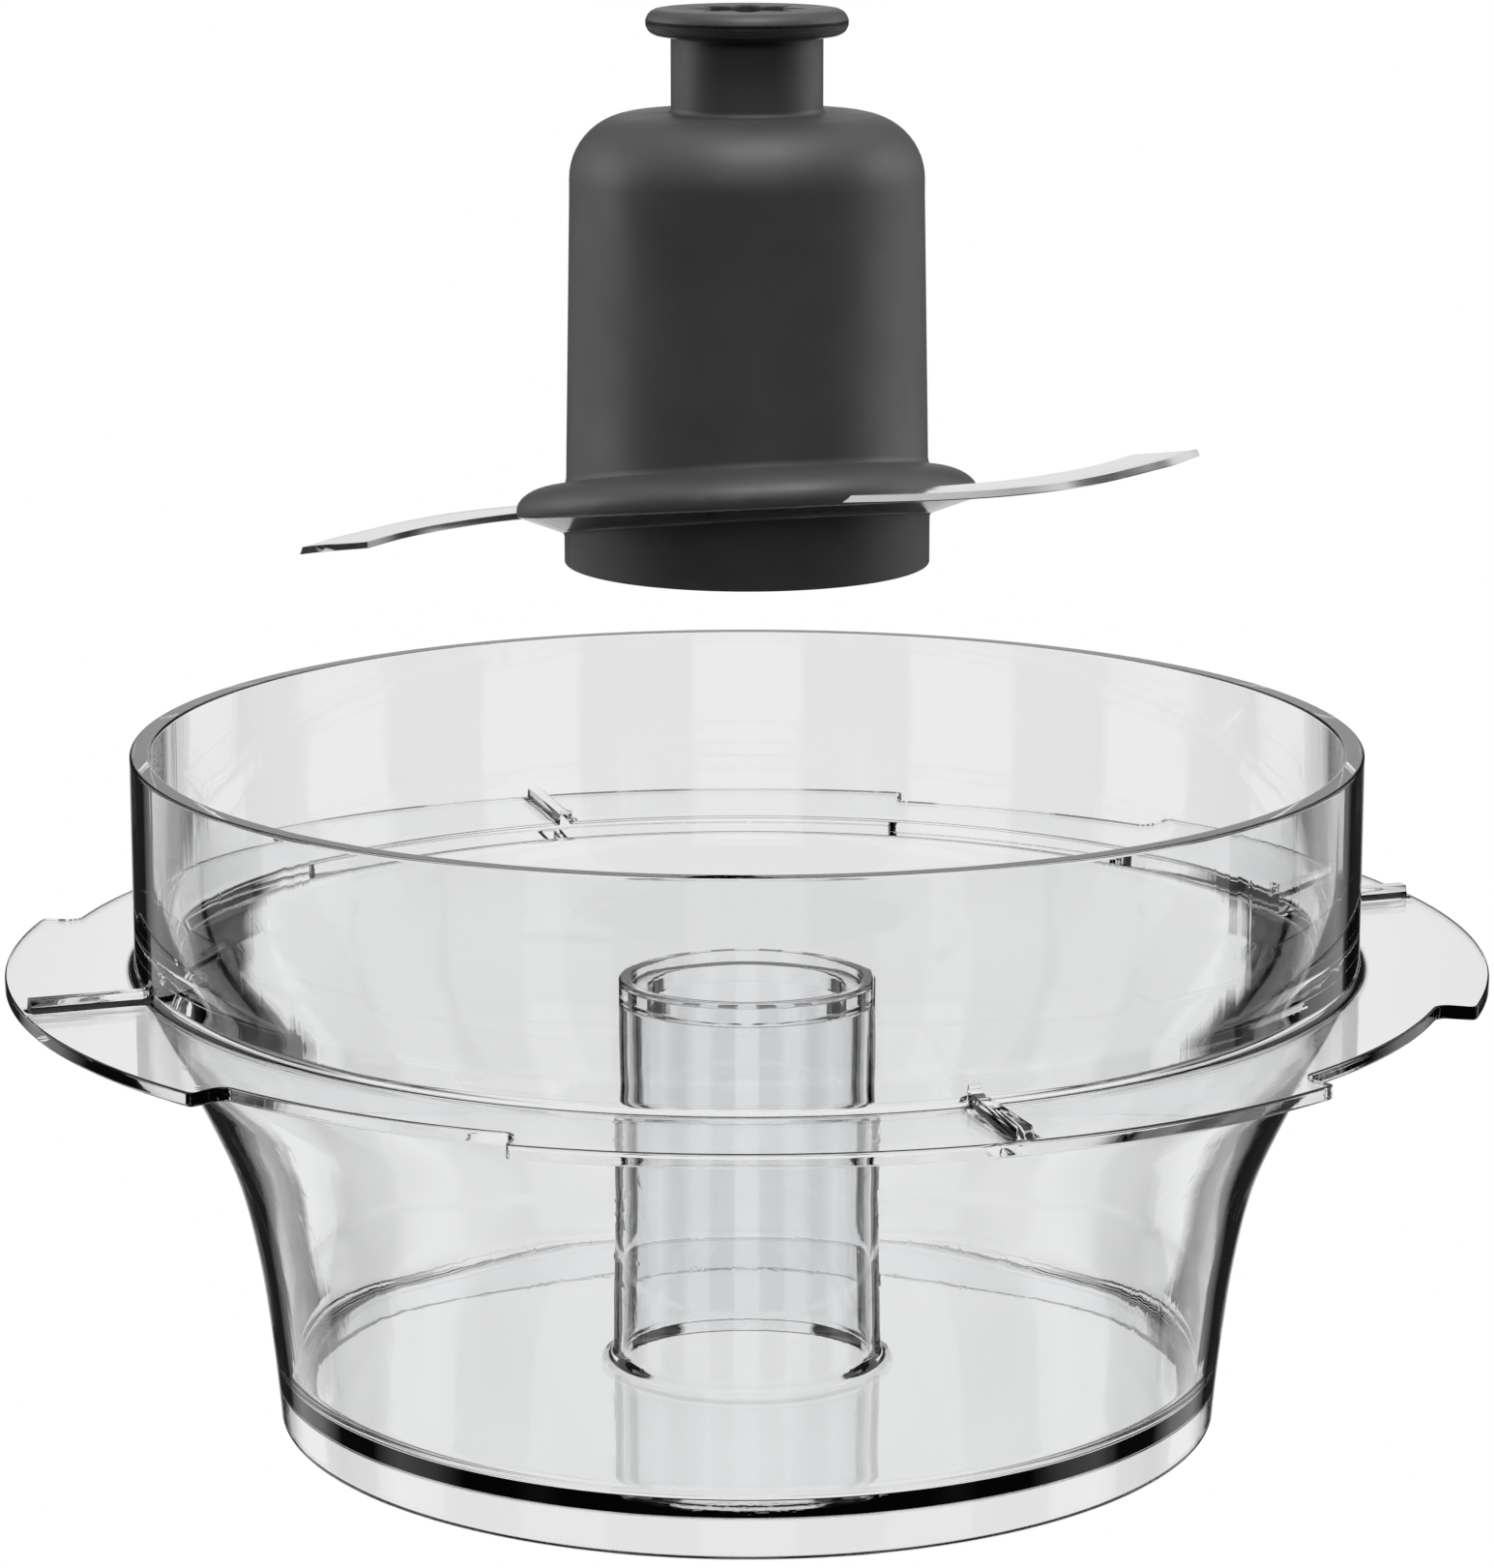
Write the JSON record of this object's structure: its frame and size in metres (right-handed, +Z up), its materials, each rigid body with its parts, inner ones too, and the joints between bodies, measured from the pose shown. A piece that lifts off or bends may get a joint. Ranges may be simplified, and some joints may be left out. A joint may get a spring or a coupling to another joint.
{
  "type": "food processor mini bowl with chopping blade",
  "caption": "Clear insert bowl with a centre tube and keyed flange, and a lift-out chopping blade with curved steel blades on a dark hub held above it.",
  "frame": {"origin": "centre of the bowl's base ring, on the surface it stands on", "axes": "+Z up along the centre tube and the blade's axis; -Y towards the front, where the flange has its lug between 253 and 317 degrees from +X"},
  "size_m": [0.2054, 0.2054, 0.1958],
  "materials": {
    "clear_plastic": "clear gloss moulding",
    "hub_plastic": "fine satin texture",
    "blade_steel": "ground along the blade",
    "socket_steel": "satin",
    "bush_plastic": "smooth natural bearing plastic"
  },
  "bodies": {
    "bowl_body": {"bowl": "clear_plastic"},
    "steady_body": {"steady_bush": "bush_plastic"},
    "blade_unit": {"hub_shell": "hub_plastic", "grip_cap": "hub_plastic", "blade_collar": "hub_plastic", "hub_liner": "hub_plastic", "base_ring": "hub_plastic", "drive_socket": "socket_steel", "upper_blade": "blade_steel", "lower_blade": "blade_steel"}
  },
  "joints": [
    {"name": "blade_lift", "type": "slide", "parent": "bowl_body", "child": "steady_body", "axis": [0, 0, 1], "range_m": [-0.1127, 0]},
    {"name": "blade_spin", "type": "hinge", "parent": "steady_body", "child": "blade_unit", "pos_m": [0, 0, 0.12], "axis": [0, 0, 1], "continuous": true}
  ]
}
